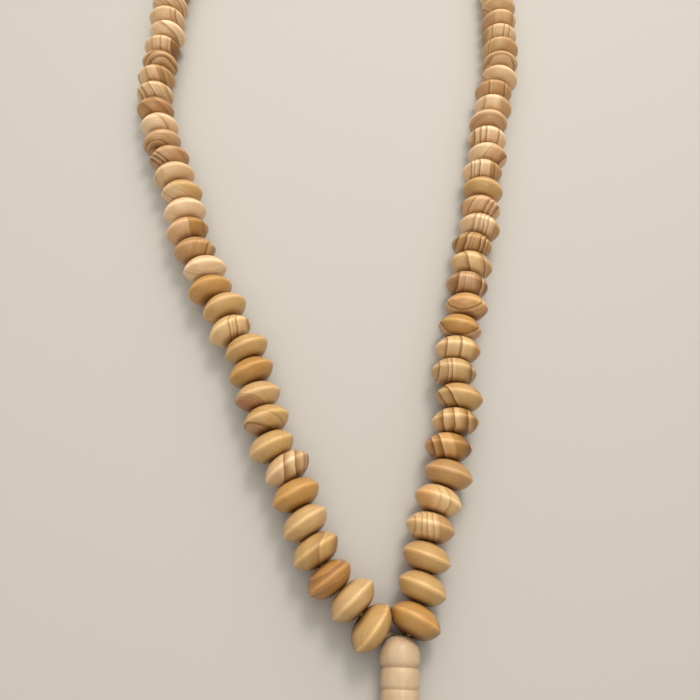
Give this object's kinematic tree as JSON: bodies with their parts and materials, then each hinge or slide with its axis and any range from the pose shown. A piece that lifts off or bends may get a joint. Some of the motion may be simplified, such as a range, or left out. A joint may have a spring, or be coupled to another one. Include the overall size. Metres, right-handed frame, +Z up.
{
  "type": "wooden bead necklace",
  "caption": "Closed loop of turned wooden saucer beads on a thread, joined in a paler turned end bead with a plain knot, laid flat in a long drop shape",
  "frame": {"origin": "middle of the bottom face of the box round the laid necklace, on the surface that it lies on", "axes": "+Y from the end bead along the loop to its back round, +X to the right seen from above, +Z up from the surface"},
  "size_m": [0.1256, 0.3304, 0.012],
  "materials": {
    "bead_wood": "turned olive wood with dark growth lines, thin satin lacquer",
    "end_wood": "pale turned wood, fine even grain, dull satin",
    "thread": "twisted tan thread, matt"
  },
  "bodies": {
    "root": {"bead_string_left": "bead_wood", "bead_string_right": "bead_wood", "end_bead": "end_wood", "end_knot": "thread"}
  },
  "joints": []
}
